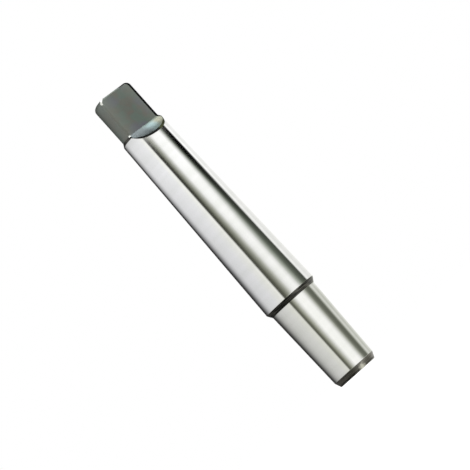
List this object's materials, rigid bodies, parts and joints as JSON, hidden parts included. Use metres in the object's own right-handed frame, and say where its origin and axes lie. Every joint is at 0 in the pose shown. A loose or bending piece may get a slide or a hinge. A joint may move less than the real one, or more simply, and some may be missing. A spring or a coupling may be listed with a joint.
{
  "type": "drill chuck arbor",
  "caption": "Steel drill chuck arbor: a long ground taper shank with a flat-sided driving tang at one end and a short ground taper for the chuck at the other.",
  "frame": {"origin": "centre of the flat face at the chuck end, on the axis", "axes": "+Z along the axis from the chuck end to the tang; the tang's two flats face +Y and -Y"},
  "size_m": [0.018, 0.018, 0.11],
  "materials": {
    "ground_steel": "tapers ground bright, with the tang, both bevels and the end faces left in a dark oxide"
  },
  "bodies": {
    "root": {"arbor": "ground_steel"}
  },
  "joints": []
}
